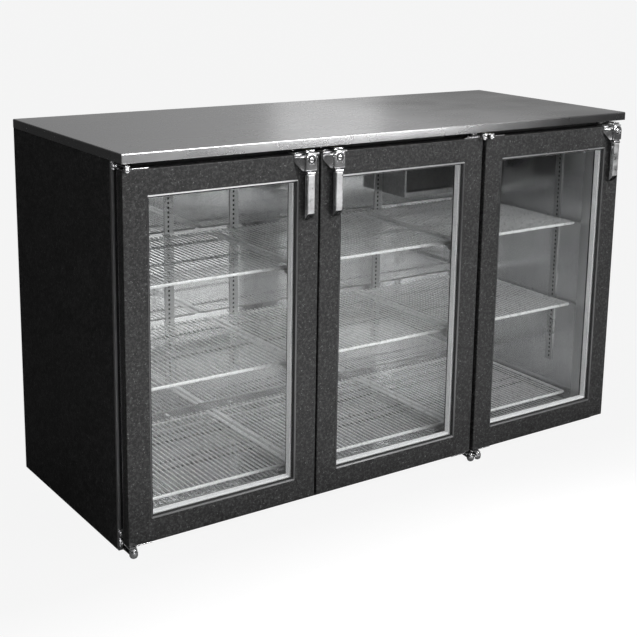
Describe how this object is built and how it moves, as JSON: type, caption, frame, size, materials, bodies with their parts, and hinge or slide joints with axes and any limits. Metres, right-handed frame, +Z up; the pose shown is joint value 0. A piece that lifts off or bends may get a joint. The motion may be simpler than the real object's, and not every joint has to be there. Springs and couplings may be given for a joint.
{
  "type": "under counter fridge",
  "caption": "Low insulated bar cooler with a flat steel top, hinged glass doors with key latches, wire shelves and a wall evaporator.",
  "frame": {"origin": "centre of the whole object's footprint, on the floor", "axes": "+X to the right seen from the front, +Y towards the back wall, so the doors face -Y, +Z up"},
  "size_m": [1.524, 0.626, 0.9144],
  "materials": {
    "stainless": "satin",
    "black_panel": "matte",
    "chrome": "polished",
    "liner_metal": "satin",
    "zinc_steel": "satin",
    "foam": "matte",
    "glass": "gloss",
    "rubber": "matte",
    "shelf_wire": "satin",
    "fins": "satin",
    "black_plastic": "matte"
  },
  "bodies": {
    "cabinet": {"countertop": "stainless", "front_frame": "stainless", "side_panel_left": "black_panel", "side_panel_right": "black_panel", "back_panel": "zinc_steel", "base_pan": "zinc_steel", "evaporator_housing": "zinc_steel", "foam_core": "foam", "inner_liner": "liner_metal", "pilaster_back_1": "liner_metal", "pilaster_back_2": "liner_metal", "pilaster_back_3": "liner_metal", "pilaster_back_4": "liner_metal", "pilaster_left_front": "liner_metal", "pilaster_left_rear": "liner_metal", "pilaster_right_front": "liner_metal", "pilaster_right_rear": "liner_metal", "hinge_bracket_top_left": "chrome", "hinge_bracket_top_centre": "chrome", "hinge_bracket_bottom_left": "chrome", "hinge_bracket_bottom_centre": "chrome", "strike_1": "chrome", "strike_2": "chrome", "strike_3": "chrome", "shelf_lower_1": "shelf_wire", "shelf_lower_2": "shelf_wire", "shelf_lower_3": "shelf_wire", "shelf_middle_1": "shelf_wire", "shelf_middle_2": "shelf_wire", "shelf_middle_3": "shelf_wire", "shelf_upper_1": "shelf_wire", "shelf_upper_2": "shelf_wire", "shelf_upper_3": "shelf_wire", "evaporator_coil": "fins", "fan_motor": "black_plastic"},
    "door_1": {"door_frame_1": "black_panel", "glass_unit_1": "glass", "door_gasket_1": "rubber", "hinge_plate_top_1": "chrome", "hinge_plate_bottom_1": "chrome", "latch_body_1": "chrome"},
    "lever_1": {"latch_lever_1": "chrome"},
    "lock_1": {"lock_cylinder_1": "chrome"},
    "door_2": {"door_frame_2": "black_panel", "glass_unit_2": "glass", "door_gasket_2": "rubber", "hinge_plate_top_2": "chrome", "hinge_plate_bottom_2": "chrome", "latch_body_2": "chrome"},
    "lever_2": {"latch_lever_2": "chrome"},
    "lock_2": {"lock_cylinder_2": "chrome"},
    "door_3": {"door_frame_3": "black_panel", "glass_unit_3": "glass", "door_gasket_3": "rubber", "hinge_plate_top_3": "chrome", "hinge_plate_bottom_3": "chrome", "latch_body_3": "chrome"},
    "lever_3": {"latch_lever_3": "chrome"},
    "lock_3": {"lock_cylinder_3": "chrome"},
    "fan": {"evaporator_fan": "black_plastic"}
  },
  "joints": [
    {"name": "door_1_hinge", "type": "hinge", "parent": "cabinet", "child": "door_1", "pos_m": [-0.751, -0.299, 0.45], "axis": [0, 0, 1], "range_deg": [-105, 0], "stiffness_Nm_per_rad": 1.5, "springref_deg": 5.73},
    {"name": "lever_1_pull", "type": "hinge", "parent": "door_1", "child": "lever_1", "pos_m": [-0.295, -0.305, 0.848], "axis": [-1, 0, 0], "range_deg": [0, 14], "stiffness_Nm_per_rad": 0.5, "springref_deg": -28.65},
    {"name": "lock_1_turn", "type": "hinge", "parent": "door_1", "child": "lock_1", "pos_m": [-0.295, -0.307, 0.8665], "axis": [0, -1, 0], "range_deg": [0, 90]},
    {"name": "door_2_hinge", "type": "hinge", "parent": "cabinet", "child": "door_2", "pos_m": [0.24, -0.299, 0.45], "axis": [0, 0, 1], "range_deg": [0, 105], "stiffness_Nm_per_rad": 1.5, "springref_deg": -5.73},
    {"name": "lever_2_pull", "type": "hinge", "parent": "door_2", "child": "lever_2", "pos_m": [-0.216, -0.305, 0.848], "axis": [-1, 0, 0], "range_deg": [0, 14], "stiffness_Nm_per_rad": 0.5, "springref_deg": -28.65},
    {"name": "lock_2_turn", "type": "hinge", "parent": "door_2", "child": "lock_2", "pos_m": [-0.216, -0.307, 0.8665], "axis": [0, -1, 0], "range_deg": [0, 90]},
    {"name": "door_3_hinge", "type": "hinge", "parent": "cabinet", "child": "door_3", "pos_m": [0.264, -0.299, 0.45], "axis": [0, 0, 1], "range_deg": [-105, 0], "stiffness_Nm_per_rad": 1.5, "springref_deg": 5.73},
    {"name": "lever_3_pull", "type": "hinge", "parent": "door_3", "child": "lever_3", "pos_m": [0.72, -0.305, 0.848], "axis": [-1, 0, 0], "range_deg": [0, 14], "stiffness_Nm_per_rad": 0.5, "springref_deg": -28.65},
    {"name": "lock_3_turn", "type": "hinge", "parent": "door_3", "child": "lock_3", "pos_m": [0.72, -0.307, 0.8665], "axis": [0, -1, 0], "range_deg": [0, 90]},
    {"name": "evaporator_fan_spin", "type": "hinge", "parent": "cabinet", "child": "fan", "pos_m": [0.624, 0.173, 0.735], "axis": [0, -1, 0], "continuous": true}
  ]
}
